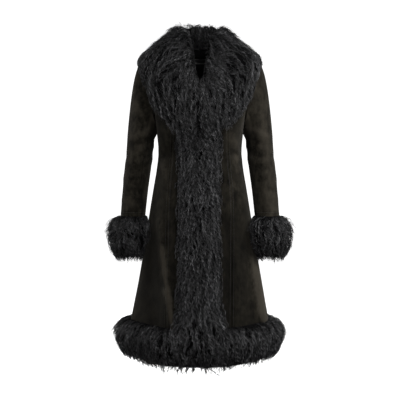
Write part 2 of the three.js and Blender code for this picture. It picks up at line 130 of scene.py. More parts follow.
# Creases of the suede body, as strokes seen from the front (or, with face 1, from the back):
# ends x and z, width, and depth, where a negative one is a trough.
CREASES = table("face x1 z1 x2 z2 width depth", [
    (-1, -128, -560, -103, -780, 13, 8),
    (-1, -103, -780, -80, -925, 13, 9),
    (-1, -158, -620, -140, -925, 18, -4),
    (-1, 92, -560, 96, -925, 11, -4),
    (-1, -133, -352, -106, -355, 7, -3.5),
    (-1, -137, -334, -112, -328, 8, 2.5),
    (-1, -128, -286, -100, -300, 9, 2.5),
    (-1, -126, -392, -104, -402, 9, 2),
    (-1, 98, -334, 139, -346, 7, -3.2),
    (-1, 104, -354, 139, -364, 7, 2.6),
    (-1, 112, -374, 140, -384, 7, -2.2),
    (-1, 102, -277, 124, -343, 9, 4),
    (-1, 114, -366, 129, -406, 8, 3.2),
    (-1, 86, -420, 110, -470, 12, 2),
    (-1, 118, -480, 130, -640, 16, -2.6),
    (-1, 176, -690, 206, -910, 18, 7),
    (-1, -150, -560, -176, -800, 18, -3),
    (1, -88, -318, -20, -330, 9, -3),
    (1, 22, -322, 92, -312, 9, -3.2),
    (1, -70, -348, 64, -354, 9, 2.6),
    (1, -112, -368, -44, -378, 9, -2.4),
    (1, 48, -380, 118, -370, 9, -2.6),
    (1, -118, -250, -74, -296, 10, 2.8),
    (1, 70, -292, 120, -246, 10, 2.8),
    (1, -60, -560, -84, -860, 16, -3.6),
    (1, 70, -520, 98, -860, 16, 3.6),
])
# Strokes of painted highlight on the suede, or of painted shade where depth is negative,
# with no change of form.
PAINTED_STROKES = table("face x1 z1 x2 z2 width depth", [
    (-1, 160, -660, 208, -890, 15, 8),
    (-1, -119, -640, -77, -905, 9, 5),
    (-1, -162, -640, -160, -905, 22, -6),
    (-1, -124, -376, -108, -420, 10, 4.5),
    (-1, -130, -470, -112, -560, 12, 2.5),
    (-1, 104, -325, 122, -400, 10, 5),
    (-1, 84, -268, 98, -300, 9, 4),
    (-1, 120, -440, 132, -560, 12, 3),
    (1, 120, -640, 150, -890, 16, 5),
    (1, -140, -600, -160, -860, 18, -4),
    (1, -90, -300, -60, -420, 14, 4),
    (1, 40, -420, 60, -560, 16, 3.5),
])
# Creases of the sleeves: where round the arm they lie and how far they reach, their height and
# slope, width and depth.
ARM_CREASES = table("around reach z slope width depth", [
    (140, 50, -340, 0.10, 10, -2.2),
    (150, 45, -362, -0.05, 10, 1.8),
    (110, 40, -382, 0.14, 9, -1.6),
    (215, 50, -322, -0.08, 10, 1.4),
    (95, 44, -276, 0.35, 11, 2.6),
    (80, 40, -306, 0.30, 10, -2.0),
    (235, 50, -310, -0.30, 10, -2.0),
    (20, 40, -352, 0.10, 10, -1.4),
    (330, 45, -430, 0.20, 14, 1.8),
    (100, 45, -452, 0.12, 12, -1.6),
    (60, 55, -500, -0.16, 13, 1.8),
])


def between(rows, level):
    """The value of each column between the rows of a table, on a smooth curve through them."""
    last = len(next(iter(rows.values()))) - 1
    at = np.clip(level, 0, last)
    low = np.minimum(np.floor(at), last - 1).astype(int)
    t = at - low
    value = {}
    for name, column in rows.items():
        start, step = column[low], column[low + 1] - column[low]
        slope = np.gradient(column)
        rise = 3 * step - 2 * slope[low] - slope[low + 1]
        twist = slope[low] + slope[low + 1] - 2 * step
        value[name] = start + t * (slope[low] + t * (rise + t * twist))
    return value


def level_of(rows, name, wanted):
    """The level at which a column that only rises or only falls has a value."""
    column = rows[name]
    way = 1 if column[-1] > column[0] else -1
    return np.interp(way * np.asarray(wanted, float), way * column, np.arange(len(column)))


def ease(x, low, high):
    t = np.clip((np.asarray(x, float) - low) / (high - low), 0, 1)
    return t * t * (3 - 2 * t)


def length_of(v):
    return np.linalg.norm(v, axis=-1)


def unit(v):
    return v / np.maximum(length_of(v), 1e-9)[..., None]


def mix(a, b, t):
    return a + (b - a) * t


def hump(x, middle, width):
    """1 in the middle, and less and less to both sides."""
    return np.exp(-((x - middle) / width) ** 2)


def run_of(points):
    """How far each row of points lies from the first one, along each column."""
    steps = length_of(np.diff(points, axis=0))
    return np.concatenate([0 * steps[:1], np.cumsum(steps, axis=0)])


# The coat's body as a surface: level is a ring of BODY, turn is degrees from the centre front.
def fold_at(level, turn):
    strength = 1 - ease(level, FOLD_FULL, FOLD_TOP)
    total = 0
    for place, width, depth in zip(FOLDS["turn"], FOLDS["width"], FOLDS["depth"]):
        total = total + depth * hump((turn - place + 540) % 360 - 180, 0, width)
    return strength * total


def body_point(level, turn):
    level, turn = np.broadcast_arrays(np.asarray(level, float), np.asarray(turn, float))
    ring = between(BODY, level)
    sine, cosine = np.sin(np.radians(turn)), np.cos(np.radians(turn))
    power = 2 / ring["square"]
    is_front = cosine > 0
    depth = np.where(is_front, -ring["front"], ring["back"])
    dip = np.abs(cosine) ** np.where(is_front, ring["dip"], 2)
    point = np.stack([
        ring["half"] * np.sign(sine) * np.abs(sine) ** power,
        depth * np.abs(cosine) ** power,
        mix(ring["sideZ"], np.where(is_front, ring["frontZ"], ring["backZ"]), dip),
    ], axis=-1)
    outwards = unit(point * (1, 1, 0))
    return point + outwards * fold_at(level, turn)[..., None]


def one_degree(level, turn):
    """The way that one degree goes round the body."""
    return body_point(level, turn + 0.5) - body_point(level, turn - 0.5)


def body_normal(level, turn):
    level = np.asarray(level, float)
    above = body_point(np.minimum(level + 0.02, NECKLINE), turn)
    below = body_point(np.maximum(level - 0.02, 0), turn)
    return unit(np.cross(one_degree(level, turn), above - below))


def off_body(level, turn, distance):
    return body_point(level, turn) + body_normal(level, turn) * np.asarray(distance, float)[..., None]


def turn_at_x(level, x):
    ring = between(BODY, np.asarray(level, float))
    return np.degrees(np.arcsin((x / ring["half"]) ** (ring["square"] / 2)))


def armhole_turn(level, reach):
    share = (np.asarray(level, float) - ARMHOLE_MIDDLE) / ARMHOLE_HALF
    return 90 + reach * np.sqrt(np.maximum(0, 1 - share * share))


def princess_turn(level):
    level = np.asarray(level, float)
    below = np.minimum(level, UNDERARM)
    low = turn_at_x(below, between(BODY, below)["princess"])
    share = np.clip((level - UNDERARM) / (NECKLINE - UNDERARM), 0, 1)
    return mix(low, PRINCESS_NECK_TURN, share)


def panel_levels(step):
    """Levels of a panel's rows: a step of height apart, and closer round the armhole."""
    low, high = BODY["sideZ"][1], BODY["sideZ"][SHOULDER]
    rows = level_of(BODY, "sideZ", np.linspace(low, high, round((high - low) / step)))
    armhole = ARMHOLE_MIDDLE + ARMHOLE_HALF * np.cos(np.radians(np.arange(180, -1, -ARM_STEP)))
    neck = np.arange(SHOULDER, NECKLINE + 0.1, 0.25)
    rows = np.unique(np.round(np.concatenate([rows, armhole, neck]), 4))
    return rows[np.concatenate([[True], np.diff(rows) > 0.01])]


# The sleeve as a surface: row counts along it, and around is degrees from its outer side.
def armhole_ring(out_x, out_y):
    """The level and turn of the armhole's edge in a direction from its middle."""
    reach = np.where(out_y < 0, ARMHOLE_FRONT, ARMHOLE_BACK)
    return ARMHOLE_MIDDLE + ARMHOLE_HALF * out_x, 90 + reach * out_y


def sleeve_point(row, around):
    row, around = np.broadcast_arrays(np.asarray(row, float), np.asarray(around, float))
    out_x, out_y = np.cos(np.radians(around)), -np.sin(np.radians(around))

    def on_ring(ring):
        return np.stack([
            ring["x"] + ring["across"] * out_x, ring["y"] + ring["deep"] * out_y, ring["z"] + 0 * out_x,
        ], axis=-1)

    low = on_ring(between(SLEEVE, row - 1))
    start = body_point(*armhole_ring(out_x, out_y))
    end = on_ring(between(SLEEVE, 0 * row))
    t = np.clip(row, 0, 1)
    drop = HEAD_DROP * t + (1 - HEAD_DROP) * t * t
    lift = UNDERARM_EASE * np.sin(np.pi * t) * ((1 - out_x) / 2) ** 2
    head = np.stack([
        mix(start[..., 0], end[..., 0], t ** HEAD_FULLNESS) + lift,
        mix(start[..., 1], end[..., 1], t),
        mix(start[..., 2], end[..., 2], drop),
    ], axis=-1)
    return np.where((row >= 1)[..., None], low, head)


def sleeve_normal(row, around):
    row = np.asarray(row, float)
    along = sleeve_point(row + 0.01, around) - sleeve_point(np.maximum(row - 0.01, 0), around)
    across = sleeve_point(row, around + 1) - sleeve_point(row, around - 1)
    return unit(np.cross(across, along))


def off_sleeve(row, around, distance):
    return sleeve_point(row, around) + sleeve_normal(row, around) * np.asarray(distance, float)[..., None]


# Creases
STROKE_END = 0.12  # where a stroke starts and ends on the bow that its depth follows
STROKE_FADE = 40  # how far in from the coat's side the creases of one face fade out


def body_relief(point, strokes=CREASES):
    """How far the suede of the body stands out at each point, for its creases."""
    x, y, z = point[..., 0], point[..., 1], point[..., 2]
    total = np.zeros(x.shape)
    for face, x1, z1, x2, z2, width, depth in zip(*strokes.values()):
        along = np.array([x2 - x1, z2 - z1])
        t = np.clip(((x - x1) * along[0] + (z - z1) * along[1]) / along.dot(along), 0, 1)
        away = np.hypot(x - x1 - t * along[0], z - z1 - t * along[1])
        fade = np.sqrt(np.sin(np.pi * mix(STROKE_END, 1 - STROKE_END, t)))
        total += depth * fade * hump(away, 0, width) * ease(y * face, 0, STROKE_FADE)
    return total


def arm_relief(around, z):
    total = np.zeros(np.broadcast(around, z).shape)
    for place, reach, height, slope, width, depth in zip(*ARM_CREASES.values()):
        turn = (around - place + 540) % 360 - 180
        total += depth * np.exp(-(turn / reach) ** 4) * hump(z - height - slope * turn, 0, width)
    return total


# Meshes
def in_scene(name, data):
    """A new object for a mesh, a light or a camera."""
    made = bpy.data.objects.new(name, data)
    bpy.context.scene.collection.objects.link(made)
    return made


def mesh_object(name, points, faces, material, smooth=True):
    """An object from points in millimetres and four-cornered faces."""
    mesh = bpy.data.meshes.new(name)
    mesh.from_pydata((points * MM).tolist(), [], faces.tolist(), shade_flat=not smooth)
    mesh.materials.append(material)
    return in_scene(name, mesh)


def new_piece(name, points, faces, material, smooth=True):
    piece = mesh_object(name, points, faces, material, smooth)
    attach(piece, "root")
    return piece


def grid_faces(rows, columns, wraps):
    """Four-cornered faces between the points of a grid."""
    r, c = np.meshgrid(np.arange(rows - 1), np.arange(columns if wraps else columns - 1), indexing="ij")
    here, right = r * columns + c, r * columns + (c + 1) % columns
    return np.stack([here, right, right + columns, here + columns], axis=-1).reshape(-1, 4)


def wall_faces(rows, columns, wraps):
    """Faces of a closed wall between two grids of one size."""
    outer = grid_faces(rows, columns, wraps)
    size = rows * columns
    inner = outer[:, ::-1] + size
    c = np.arange(columns if wraps else columns - 1)
    n = (c + 1) % columns
    top = (rows - 1) * columns

    def join(a, b, way):
        return np.stack([a, b, b + way, a + way], axis=-1)

    ends = [join(c + size, n + size, -size), join(top + c, top + n, size)]
    if not wraps:
        r = np.arange(rows - 1) * columns
        last = r + columns - 1
        ends += [join(r, r + columns, size), join(last + size, last + columns + size, -size)]
    return np.concatenate([outer, inner, *ends])


def facing_out(points, faces):
    """The same faces, turned round if they point in."""
    a, b, c, d = (points[faces[:, i]] for i in range(4))
    volume = np.sum(a * np.cross(b, c)) + np.sum(a * np.cross(c, d))
    return faces if volume > 0 else faces[:, ::-1]


def wall(name, over, under, material):
    points = np.concatenate([over.reshape(-1, 3), under.reshape(-1, 3)])
    faces = facing_out(points, wall_faces(over.shape[0], over.shape[1], False))
    return new_piece(name, points, faces, material)


def grid_size(over):
    """Width, length and area of a grid of points, in metres, as it would lie flat."""
    across = length_of(np.diff(over, axis=1)).sum(axis=1)
    steps = length_of(np.diff(over, axis=0))
    area = np.sum(steps.mean(axis=1) * (across[1:] + across[:-1]) / 2)
    return across.max() * MM, steps.sum(axis=0).max() * MM, area * MM * MM


def cut_from(piece, over):
    """Prints the size of the sheet that a piece is cut from, as its outer face would lie flat."""
    width, length, area = grid_size(over)
    area = min(area, width * length)
    print(f"cut {piece.name}: {width * 1000:.0f} x {length * 1000:.0f} mm, {area:.4f} m2")


# Materials
class Shade:
    """A socket that can be used in sums and products with numbers and other sockets."""

    def __init__(self, finish, socket):
        self.finish = finish
        self.socket = socket

    def maths(self, operation, other):
        return self.finish.node("ShaderNodeMath", {"operation": operation}, {0: self, 1: other})

    def __add__(self, other):
        return self.maths("ADD", other)

    def __mul__(self, other):
        return self.maths("MULTIPLY", other)

    def __pow__(self, other):
        return self.maths("POWER", other)


class Finish:
    """A material with one shader, whose nodes are added by calling node."""

    def __init__(self, name, **constants):
        self.material = bpy.data.materials.new(name)
        self.material.use_nodes = True
        self.tree = self.material.node_tree
        self.tree.nodes.clear()
        self.shader = self.tree.nodes.new("ShaderNodeBsdfPrincipled")
        output = self.tree.nodes.new("ShaderNodeOutputMaterial")
        self.tree.links.new(self.shader.outputs[0], output.inputs[0])
        for socket, value in constants.items():
            self.shader.inputs[socket.replace("_", " ")].default_value = value

    def node(self, kind, settings=None, sockets=None, output=0):
        made = self.tree.nodes.new(kind)
        for name, value in (settings or {}).items():
            setattr(made, name, value)
        for name, value in (sockets or {}).items():
            if isinstance(value, Shade):
                self.tree.links.new(value.socket, made.inputs[name])
            else:
                made.inputs[name].default_value = value
        return Shade(self, made.outputs[output])

    def feed(self, socket, value):
        self.tree.links.new(value.socket, self.shader.inputs[socket])

    def painted(self, name):
        """The values that paint gave a piece under a name."""
        return self.node("ShaderNodeAttribute", {"attribute_name": name}, output="Fac")

    def noise(self, scale, detail=2, rough=0.5, stretch=None):
        place = self.node("ShaderNodeTexCoord", output="Object")
        if stretch:
            place = self.node("ShaderNodeMapping", None, {"Vector": place, "Scale": stretch})
        sockets = {"Vector": place, "Scale": scale, "Detail": detail, "Roughness": rough}
        return self.node("ShaderNodeTexNoise", None, sockets)

    def blend(self, amount, low, high):
        """Two colours mixed. The first may be a socket."""
        low = low if isinstance(low, Shade) else (*low, 1)
        return self.node("ShaderNodeMix", {"data_type": "RGBA"}, {0: amount, 6: low, 7: (*high, 1)}, output=2)

    def tinted(self, colour, amount):
        """A colour socket made darker or lighter by a value."""
        grey = self.node("ShaderNodeCombineColor", None, {0: amount, 1: amount, 2: amount})
        settings = {"data_type": "RGBA", "blend_type": "MULTIPLY"}
        return self.node("ShaderNodeMix", settings, {0: 1.0, 6: colour, 7: grey}, output=2)

    def ramp(self, value, low, high):
        return self.node("ShaderNodeMapRange", {"clamp": True}, {0: value, 1: low, 2: high, 3: 0.0, 4: 1.0})

    def finished(self, colour, rough=None, bump=None):
        """The material, with a colour, a roughness, and a bump as height, strength and distance."""
        self.feed("Base Color", colour)
        if rough:
            self.feed("Roughness", rough)
        if bump:
            sockets = dict(zip(("Height", "Strength", "Distance"), bump))
            self.feed("Normal", self.node("ShaderNodeBump", None, sockets))
        return self.material


SUEDE_DARK, SUEDE_LIGHT = (0.0015, 0.0014, 0.0012), (0.0245, 0.0216, 0.0160)
SUEDE_PAINTED_HIGHLIGHT = (0.044, 0.0385, 0.0300)  # painted highlight: the colour laid where a ridge, a light stroke or a sleeve is painted pale
# Hair is painted far darker at the roots than at the tips: painted shade deep in the pile.
FUR_ROOT, FUR_TIP = (0.0018, 0.0018, 0.0019), (0.051, 0.051, 0.053)
# The underwool is painted near black: painted shade under and between the locks.
WOOL_DARK, WOOL_LIGHT = (0.0012, 0.0012, 0.0013), (0.009, 0.009, 0.0095)
# The lining is painted lighter than black satin: painted light inside the shaded neck.
LINING_DARK, LINING_LIGHT = (0.014, 0.014, 0.015), (0.032, 0.032, 0.034)
TAPE_DARK, TAPE_LIGHT = (0.16, 0.16, 0.16), (0.30, 0.30, 0.30)
THREAD_DARK, THREAD_LIGHT = (0.008, 0.008, 0.007), (0.03, 0.028, 0.025)
PAPER_DARK, PAPER_LIGHT = (0.92, 0.92, 0.92), (0.95, 0.95, 0.95)


def suede_finish():
    made = Finish(
        "suede", Roughness=0.95, Sheen_Weight=0.42, Sheen_Roughness=0.4,
        Sheen_Tint=(0.62, 0.585, 0.52, 1), Specular_IOR_Level=0.04,
    )
    patches = made.ramp(made.noise(17, 4, 0.66), 0.41, 0.63)
    strokes = made.ramp(made.noise(52, 4, 0.72, stretch=(1, 1, 0.6)), 0.40, 0.66)
    nap = made.noise(1100, 2, 0.6)
    tone = patches * 0.42 + strokes * 0.52 + nap * 0.12
    # painted light and shade at each point: high on ridges and light strokes, low in troughs
    height = made.painted("painted_light_and_shade")
    # painted highlight on ridges, light strokes and sleeves, broken up by the mottling
    painted_shading = made.ramp(made.ramp(height, -1, 8) * 1.2 + patches * 0.25 + strokes * 0.3, 0.6, 1.5)
    # painted shade: darker in troughs and wherever the painted value is negative
    tone = tone * (made.ramp(height, -6, 0) * 0.6 + 0.4)
    colour = made.blend(painted_shading, made.blend(tone, SUEDE_DARK, SUEDE_LIGHT), SUEDE_PAINTED_HIGHLIGHT)
    return made.finished(colour, strokes * 0.1 + 0.86, (nap * 0.7 + strokes * 0.3, 0.35, 0.0006))


def fur_finish():
    made = Finish("curly lambskin", Specular_IOR_Level=0.2)
    # painted shade towards the roots, and painted glints carried by the tone
    colour = made.blend(made.painted("tip") ** 1.4, FUR_ROOT, FUR_TIP)
    return made.finished(made.tinted(colour, made.painted("tone")), made.noise(240, 2) * 0.2 + 0.4)


def wool_finish():
    made = Finish("underwool in painted shade", Specular_IOR_Level=0.02)
    tufts = made.noise(210, 3, 0.6)
    colour = made.blend(tufts, WOOL_DARK, WOOL_LIGHT)
    return made.finished(colour, tufts * 0.1 + 0.9, (tufts, 1.0, 0.006))


def lining_finish():
    made = Finish("black satin lining", Specular_IOR_Level=0.4)
    colour = made.blend(made.noise(30), LINING_DARK, LINING_LIGHT)
    threads = made.noise(900, 2, 0.5, stretch=(1, 1, 0.2))
    return made.finished(colour, made.noise(90) * 0.15 + 0.35, (threads, 0.2, 0.0002))


def tape_finish():
    made = Finish("woven tape", Roughness=0.6)
    weave = made.noise(1400, 1, 0.5, stretch=(1, 1, 0.3))
    return made.finished(made.blend(weave, TAPE_DARK, TAPE_LIGHT), bump=(weave, 0.4, 0.0003))


def thread_finish():
    made = Finish("sewing thread", Roughness=0.55)
    return made.finished(made.blend(made.noise(1800), THREAD_DARK, THREAD_LIGHT))


SUEDE_CLOTH = suede_finish()
FUR = fur_finish()
WOOL = wool_finish()
LINING_CLOTH = lining_finish()
TAPE = tape_finish()
THREAD = thread_finish()

# Suede panels of the body
SEAM_ROLL = 1.1  # how far the suede turns in at a seam
SEAM_ROLL_WIDTH = 3.5
SEAM_LAP = 0.3  # how far the turned-in edges press into each other
GRAIN = 8  # size of a mesh's faces
SEAM_ROWS = np.array([1.2, 3.0, 5.0])  # the mesh's first rows beside a seam
SKIRT_SHADE = 3.2  # painted shade: the skirt is painted darker than the body, as a trough is
SKIRT_SHADE_TOP, SKIRT_SHADE_FULL = -430, -660  # heights between which that sets in


def seam_shares(width):
    """Even shares across a panel, with a few close ones beside both seams, where it rolls in."""
    close = SEAM_ROWS / width
    return np.unique(np.concatenate([np.linspace(0, 1, round(width / GRAIN) + 1), close, 1 - close]))


def seam_roll(shares, wide):
    """How far the suede turns in at shares of a panel's width."""
    return SEAM_ROLL * hump(np.minimum(shares, 1 - shares) * wide, 0, SEAM_ROLL_WIDTH)


def paint(piece, name, values):
    """Gives a piece one value at each point, for its material."""
    layer = piece.data.attributes.new(name, "FLOAT", "POINT")
    layer.data.foreach_set("value", np.asarray(values, float).ravel())


def suede_wall(name, over, under, painted_shading):
    """A panel or a sleeve of suede, with its painted light and shade at each point of both faces."""
    piece = wall(name + "_suede", over, under, SUEDE_CLOTH)
    paint(piece, "painted_light_and_shade", np.tile(painted_shading.ravel(), 2))
    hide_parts(name)
    cut_from(piece, over)


def suede_panel(name, start, end, sign, width):
    levels = panel_levels(GRAIN)[:, None]
    shares = seam_shares(width)[None, :]
    first, last = start(levels), end(levels)
    lap = SEAM_LAP / length_of(one_degree(levels, first))
    turn = mix(first - lap, last + lap, shares)
    wide = length_of(np.diff(body_point(levels, turn), axis=1)).sum(axis=1)[:, None]
    point = body_point(levels, sign * turn)
    crease = body_relief(point)
    relief = crease - seam_roll(shares, wide)
    over, under = (off_body(levels, sign * turn, relief - d) for d in (0, SUEDE))
    # painted shade on the skirt, and the painted highlights and shade of the light strokes, go into the
    # colour only
    shade = SKIRT_SHADE * (1 - ease(point[..., 2], SKIRT_SHADE_FULL, SKIRT_SHADE_TOP))
    suede_wall(name, over, under, crease + body_relief(point, PAINTED_STROKES) - shade)


def steady(turn):
    """A line up the body that keeps one turn."""
    return lambda level: 0 * level + turn


def armhole(reach):
    """The line up the body's side that runs round the armhole."""
    return lambda level: armhole_turn(level, reach)


SIDES = (("left", 1), ("right", -1))
PANELS = (
    ("front", steady(0), princess_turn, 100),
    ("side_front", princess_turn, armhole(-ARMHOLE_FRONT), 130),
    ("back", armhole(ARMHOLE_BACK), steady(180), 250),
)
for side, sign in SIDES:
    for kind, start, end, width in PANELS:
        suede_panel(f"{kind}_{side}", start, end, sign, width)


# Sleeves
TUCK = 2.6  # how far the sleeve's edge goes in under the edge of the armhole
ARM_RADIUS = 45
SLEEVE_PAINTED_LIGHT = 2.6  # painted highlight: the sleeves are painted paler than the body, as a ridge is
OUTER_PAINTED_LIGHT = {"left": 3.2, "right": 0.5}  # painted highlight, stronger towards the outside of the front
OUTER_LIGHT_AROUND, OUTER_LIGHT_WIDTH = 74, 30
UNDERARM_FILL = 13  # suede that bunches between the sleeve and the side
UNDERARM_AROUND, UNDERARM_WIDTH = 180, 55
UNDERARM_TOP, UNDERARM_LOW = -257, -301  # it fades out between these heights


def sleeve_rows(fineness):
    rows = np.concatenate([[0, 0.12, 0.26, 0.42, 0.6, 0.8], np.arange(1, len(SLEEVE["z"]))])
    index = np.linspace(0, len(rows) - 1, (len(rows) - 1) * fineness + 1)
    return np.interp(index, np.arange(len(rows)), rows)


def flipped(points, sign):
    return points * (sign, 1, 1)


def armhole_tuck(around):
    """The way from the armhole's edge to a place under the panel's edge beside it."""
    level, turn = armhole_ring(np.cos(np.radians(around)), -np.sin(np.radians(around)))
    outwards = unit(body_point(level, turn) - body_point(ARMHOLE_MIDDLE, 90))
    return outwards * TUCK - body_normal(level, turn) * TUCK


def suede_sleeve(name, side, sign, start, end):
    rows = sleeve_rows(7)[:, None]
    wide = ARM_RADIUS * math.radians(end - start)
    shares = seam_shares(wide)[None, :]
    lap = math.degrees(SEAM_LAP / ARM_RADIUS)
    around = mix(start - lap, end + lap, shares)
    height = sleeve_point(rows, around)[..., 2]
    crease = arm_relief(around, height) * ease(rows, 0.3, 1)
    underarm = np.exp(-((around - UNDERARM_AROUND) / UNDERARM_WIDTH) ** 4)
    underarm = underarm * ease(height, UNDERARM_LOW, UNDERARM_TOP) * ease(rows, 0.02, 0.14)
    crease = crease + UNDERARM_FILL * underarm
    relief = crease - seam_roll(shares, wide) * ease(rows, 0, 0.4)
    tuck = armhole_tuck(around) * (1 - ease(rows, 0, 0.05))[..., None]
    over, under = (flipped(off_sleeve(rows, around, relief - d) + tuck, sign) for d in (0, SUEDE))
    # painted highlights of the sleeve, laid over the painted light and shade of its creases
    painted_shading = crease + SLEEVE_PAINTED_LIGHT + OUTER_PAINTED_LIGHT[side] * hump(around, OUTER_LIGHT_AROUND, OUTER_LIGHT_WIDTH)
    suede_wall(f"{name}_{side}", over, under, painted_shading)


for side, sign in SIDES:
    suede_sleeve("upper_sleeve", side, sign, BACK_SLEEVE_SEAM - 360, FRONT_SLEEVE_SEAM)
    suede_sleeve("under_sleeve", side, sign, FRONT_SLEEVE_SEAM, BACK_SLEEVE_SEAM)


# Lining of the upper back and the hanger tape
LINING_FROM = 2 / 9  # share of each back panel that it leaves bare beside the armhole
LINING_GRAIN = 14
LOOP_HALF, LOOP_WIDTH, LOOP_THICK = 55, 6, 1.2
LOOP_SAG, LOOP_SEAT, LOOP_LEVEL = 6, 0.6, 14.6


def back_lining():
    levels = panel_levels(LINING_GRAIN)
    levels = levels[levels >= UNDERARM][:, None]
    half = mix(armhole_turn(levels, ARMHOLE_BACK), 180, np.linspace(LINING_FROM, 1, 15)[None, :])
    turn = np.concatenate([half, 360 - half[:, -2::-1]], axis=1)
    outside = -(SUEDE + SEAT_GAP)
    over, under = (off_body(levels, turn, np.full(turn.shape, d)) for d in (outside, outside - LINING))
    piece = wall("back_lining_cloth", over, under, LINING_CLOTH)
    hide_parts("back_lining")
    cut_from(piece, over)


def hanger_tape():
    inside = SUEDE + SEAT_GAP + LINING + LOOP_SEAT
    half = math.degrees(math.asin(LOOP_HALF / BODY["half"][NECKLINE]))
    per_level = length_of(body_point(NECKLINE, 180) - body_point(NECKLINE - 1, 180))
    away = np.linspace(-half, half, 41)[None, :]
    height = np.linspace(-LOOP_WIDTH / 2, LOOP_WIDTH / 2, 5)[:, None]
    slack = LOOP_SAG * (1 - (away / half) ** 2) + 0 * height
    down = np.stack([0 * slack, 0 * slack, -slack], axis=-1)
    over, under = (
        off_body(LOOP_LEVEL + height / per_level, 180 + away, -(inside + d + slack / 2)) + down
        for d in (0, LOOP_THICK)
    )
    piece = wall("hanger_tape_strip", over, under, TAPE)
    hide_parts("hanger_tape")


back_lining()
hanger_tape()

# Topstitching: each stitch is a short bar that lies on the suede
STITCH_LENGTH, STITCH_PITCH, STITCH_WIDE, STITCH_HIGH = 3.0, 4.4, 0.8, 0.7
STITCH_FROM_SEAM, STITCH_LIFT = 5.5, 0.1
STITCH_LOW, PRINCESS_STITCH_HIGH, BACK_STITCH_HIGH = 2.02, 10.6, 11.5  # levels
CUFF_STITCH_Z = -533
BAR = ((-1, -0.2), (1, -0.2), (0.5, 1), (-0.5, 1))  # section of a stitch, across and up
BAR_FACES = ((0, 1, 5, 4), (1, 2, 6, 5), (2, 3, 7, 6), (3, 0, 4, 7), (3, 2, 1, 0), (4, 5, 6, 7))


def stitches(name, routes):
    """One mesh of stitches along routes, each given as points and the way out of the cloth."""
    points, faces = [], []
    for path, out in routes:
        length = run_of(path)

        def along(line, s):
            return np.array([np.interp(s, length, line[:, i]) for i in range(3)])

        for start in np.arange(0, length[-1] - STITCH_LENGTH, STITCH_PITCH):
            ends = [along(path, s) for s in (start, start + STITCH_LENGTH)]
            normal = unit(along(out, start))
            side = unit(np.cross(ends[1] - ends[0], normal))
            faces.append(np.array(BAR_FACES) + len(points))
            for end in ends:
                for across, up in BAR:
                    points.append(end + side * across * STITCH_WIDE / 2 + normal * up * STITCH_HIGH)
    new_piece(name, np.array(points), np.concatenate(faces), THREAD, smooth=False)


def body_route(seam, sign, offset, low, high):
    """A line that runs beside a seam of the body at a distance, between two levels."""
    levels = np.linspace(low, high, 160)
    turn = seam(levels)
    turn = sign * (turn + offset / length_of(one_degree(levels, turn)))
    lift = body_relief(body_point(levels, turn)) + STITCH_LIFT
    return off_body(levels, turn, lift), body_normal(levels, turn)


def sleeve_route(z, sign):
    around = np.linspace(0, 360, 90)
    row = 1 + level_of(SLEEVE, "z", z)
    line = off_sleeve(row, around, arm_relief(around, z) + STITCH_LIFT)
    return flipped(line, sign), flipped(sleeve_normal(row, around), sign)


for side, sign in SIDES:
    seams = (
        (princess_turn, -STITCH_FROM_SEAM, PRINCESS_STITCH_HIGH),
        (princess_turn, STITCH_FROM_SEAM, PRINCESS_STITCH_HIGH),
        (steady(180), -STITCH_FROM_SEAM, BACK_STITCH_HIGH),
    )
    routes = [body_route(seam, sign, offset, STITCH_LOW, high) for seam, offset, high in seams]
    stitches(f"topstitching_{side}", routes)
    stitches(f"cuff_stitching_{side}", [sleeve_route(CUFF_STITCH_Z, sign)])


# Fur
EDGE_BULGE, EDGE_TURN = 9, 12  # how far the hair swells before the first row, and within what way
DROOP = 1.2  # how much the hair past the last row hangs down
BASE_BELOW, ROOT_BELOW = 15, 30  # how far under the tips the underwool and the roots lie
BASE_SHORT = 5  # how far before the last row the underwool ends
BASE_HEIGHT, BASE_LUMPS = 0.4, 0.07
BASE_ROWS, BASE_COLUMNS = 27, 49
LOCK, STRAND_STEPS = 5, 11  # strands in a lock and points along a strand
SCATTER = 4.8  # how far a lock's strands start from its middle
EDGE_REACH = 28  # how far behind the first row the locks at the edge stand
TURN_OVER = 9  # the way within which the combing turns round
FULL_PELT = 44  # the tips of a thicker pelt are no more uneven than those of one this thick
WAVES, CURL = 3.9, 3.2  # how many waves a long strand has, and how far they swing
GLINT = 0.95  # how much lighter the hair is where a curl comes up to the light
FLYAWAY = 10  # how far the loosest hair stands up past a pelt's height
STRAND_WIDE = (1.1, 2.3)
STRAND_TONE, STRAND_TONES = -0.17, 0.8  # middle and spread of how light a strand is, as powers of e


